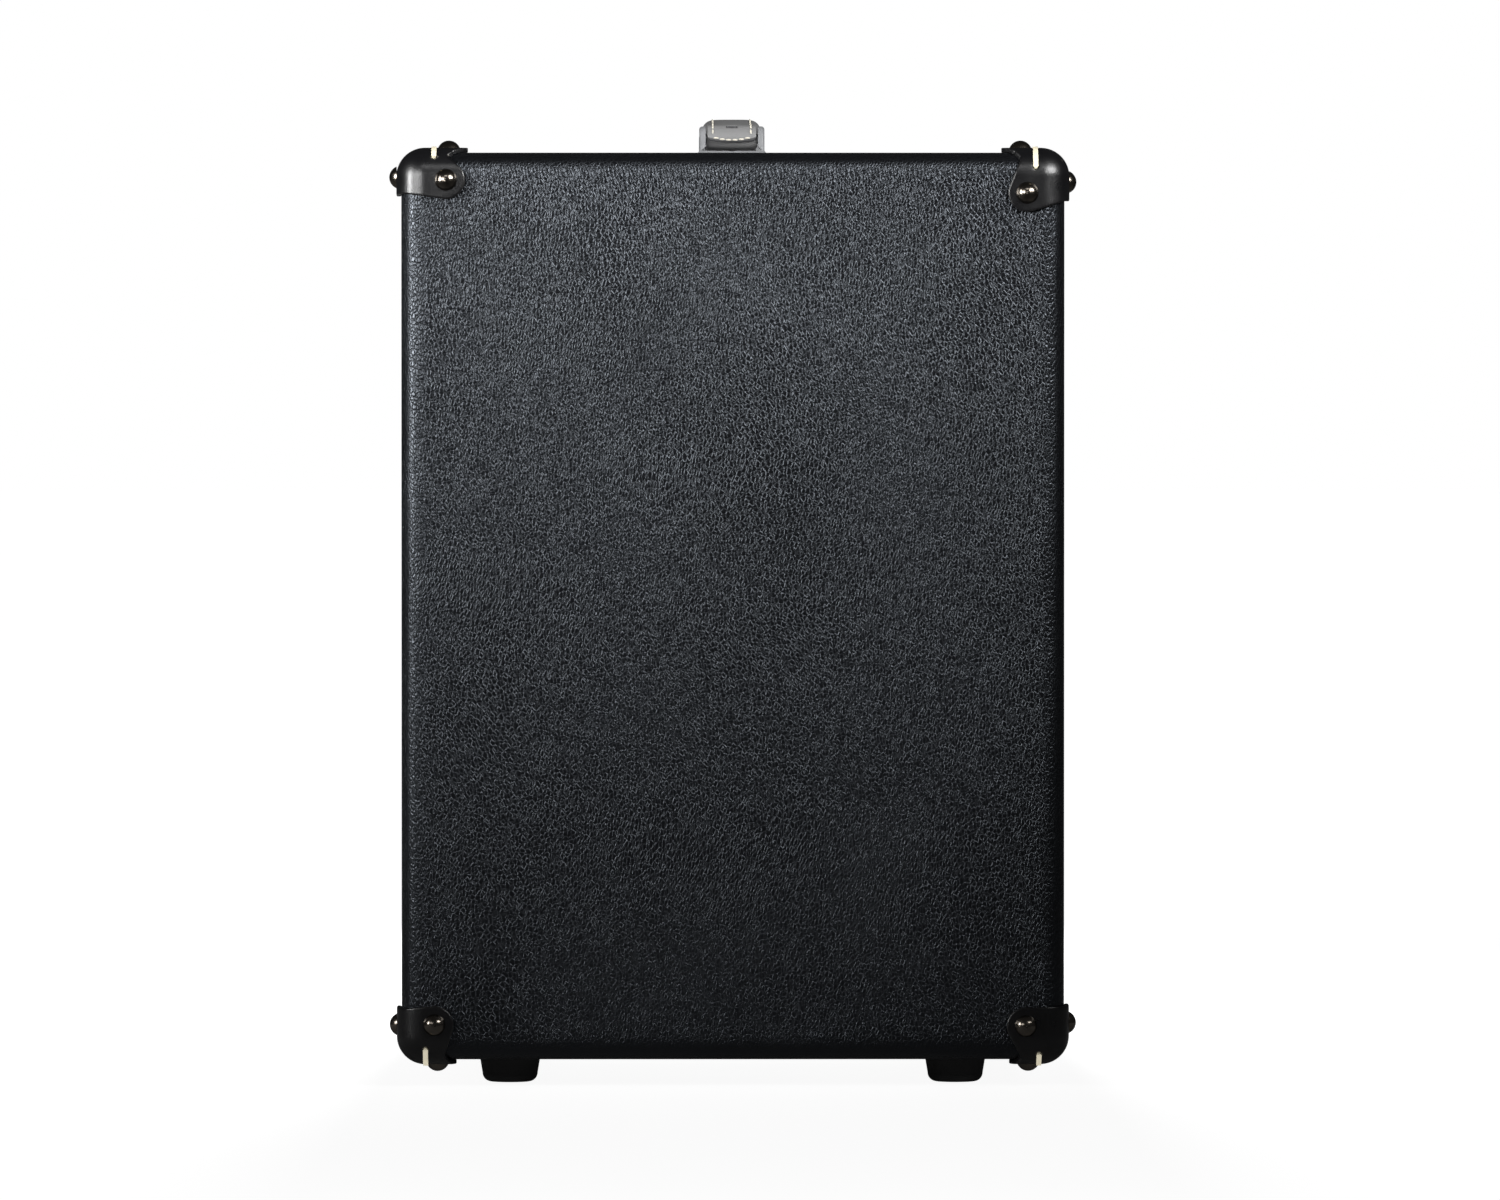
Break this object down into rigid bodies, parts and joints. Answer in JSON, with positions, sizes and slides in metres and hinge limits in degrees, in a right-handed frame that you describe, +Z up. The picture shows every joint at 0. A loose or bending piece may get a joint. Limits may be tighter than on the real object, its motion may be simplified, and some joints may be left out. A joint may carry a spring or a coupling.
{
  "type": "guitar speaker cabinet",
  "caption": "Closed-back guitar speaker cabinet in black grained vinyl, with laced leather corners, domed nails, rubber feet, leather strap handle and a sprung speaker cone.",
  "frame": {"origin": "on the floor under the middle of the cabinet", "axes": "+X to the right seen from the front, +Y from the grille towards the back, +Z up"},
  "size_m": [0.5724, 0.3464, 0.4929],
  "materials": {
    "black_vinyl": "leather-grained cloth-backed vinyl, satin",
    "plywood": "birch plywood, sanded and unfinished inside",
    "corner_leather": "smooth black bridle leather, lightly polished",
    "antique_nail": "antique bronze plated dome, polished",
    "cream_lace": "waxed cream lacing",
    "black_rubber": "moulded rubber, matt",
    "zinc_screw": "zinc plated",
    "black_screw": "black oxide",
    "nickel": "nickel plated",
    "handle_leather": "charcoal grey harness leather, cream stitched",
    "handle_metal": "grey powder coat over a casting",
    "steel_pin": "drawn steel",
    "grille_cloth": "black woven grille cloth",
    "hook_pad": "hook-and-loop tape",
    "speaker_steel": "black enamelled pressed steel",
    "plate_steel": "yellow passivated zinc on machined steel",
    "ferrite": "sintered ferrite, ground",
    "cone_paper": "felted paper",
    "gasket": "pressed cardboard",
    "doped_cloth": "doped cloth",
    "spider_cloth": "phenolic-dipped cloth",
    "former": "aluminium foil former",
    "copper": "enamelled copper",
    "terminal": "phenolic board with tinned lugs",
    "jack_plate": "black powder coat on pressed steel",
    "jack": "black nylon",
    "wire": "PVC insulated wire"
  },
  "bodies": {
    "cabinet": {"back_panel": "plywood", "back_panel_cup_washers": "nickel", "back_panel_screws": "black_screw", "back_panel_vinyl": "black_vinyl", "back_rails": "plywood", "baffle_board": "plywood", "baffle_screws": "zinc_screw", "bottom_panel": "plywood", "corner_lacing": "cream_lace", "corner_nails": "antique_nail", "foot_screws_and_washers": "zinc_screw", "front_rails": "plywood", "grille_cloth": "grille_cloth", "grille_frame": "plywood", "grille_hook_pads": "hook_pad", "handle_bracket_left": "handle_metal", "handle_bracket_right": "handle_metal", "handle_pins": "steel_pin", "handle_screws": "black_screw", "handle_strap_left": "handle_leather", "handle_strap_right": "handle_leather", "input_jack": "jack", "jack_nut_and_washer": "nickel", "jack_plate": "jack_plate", "jack_plate_screws": "black_screw", "lead_staples": "zinc_screw", "leather_corner_back_bottom_left": "corner_leather", "leather_corner_back_bottom_right": "corner_leather", "leather_corner_back_top_left": "corner_leather", "leather_corner_back_top_right": "corner_leather", "leather_corner_front_bottom_left": "corner_leather", "leather_corner_front_bottom_right": "corner_leather", "leather_corner_front_top_left": "corner_leather", "leather_corner_front_top_right": "corner_leather", "left_side_panel": "plywood", "right_side_panel": "plywood", "rubber_foot_back_left": "black_rubber", "rubber_foot_back_right": "black_rubber", "rubber_foot_front_left": "black_rubber", "rubber_foot_front_right": "black_rubber", "speaker_back_plate": "plate_steel", "speaker_bolts": "black_screw", "speaker_braided_leads": "copper", "speaker_frame": "speaker_steel", "speaker_gasket": "gasket", "speaker_lead": "wire", "speaker_magnet": "ferrite", "speaker_spider": "spider_cloth", "speaker_surround": "doped_cloth", "speaker_tee_nuts": "zinc_screw", "speaker_terminal_strip": "terminal", "speaker_top_plate": "plate_steel", "top_panel": "plywood", "vinyl_covering": "black_vinyl"},
    "cone": {"speaker_cone": "cone_paper", "speaker_dust_cap": "cone_paper", "voice_coil_former": "former", "voice_coil_winding": "copper"},
    "handle": {"handle_grip": "handle_leather", "handle_core": "handle_leather"}
  },
  "joints": [
    {"name": "cone_travel", "type": "slide", "parent": "cabinet", "child": "cone", "axis": [0, -1, 0], "range_m": [-0.003, 0.003], "stiffness_N_per_m": 4000, "deforming": ["speaker_surround", "speaker_spider", "speaker_braided_leads"]},
    {"name": "handle_lift", "type": "slide", "parent": "cabinet", "child": "handle", "axis": [0, 0, 1], "range_m": [0, 0.016], "deforming": ["handle_strap_left", "handle_strap_right"]}
  ]
}
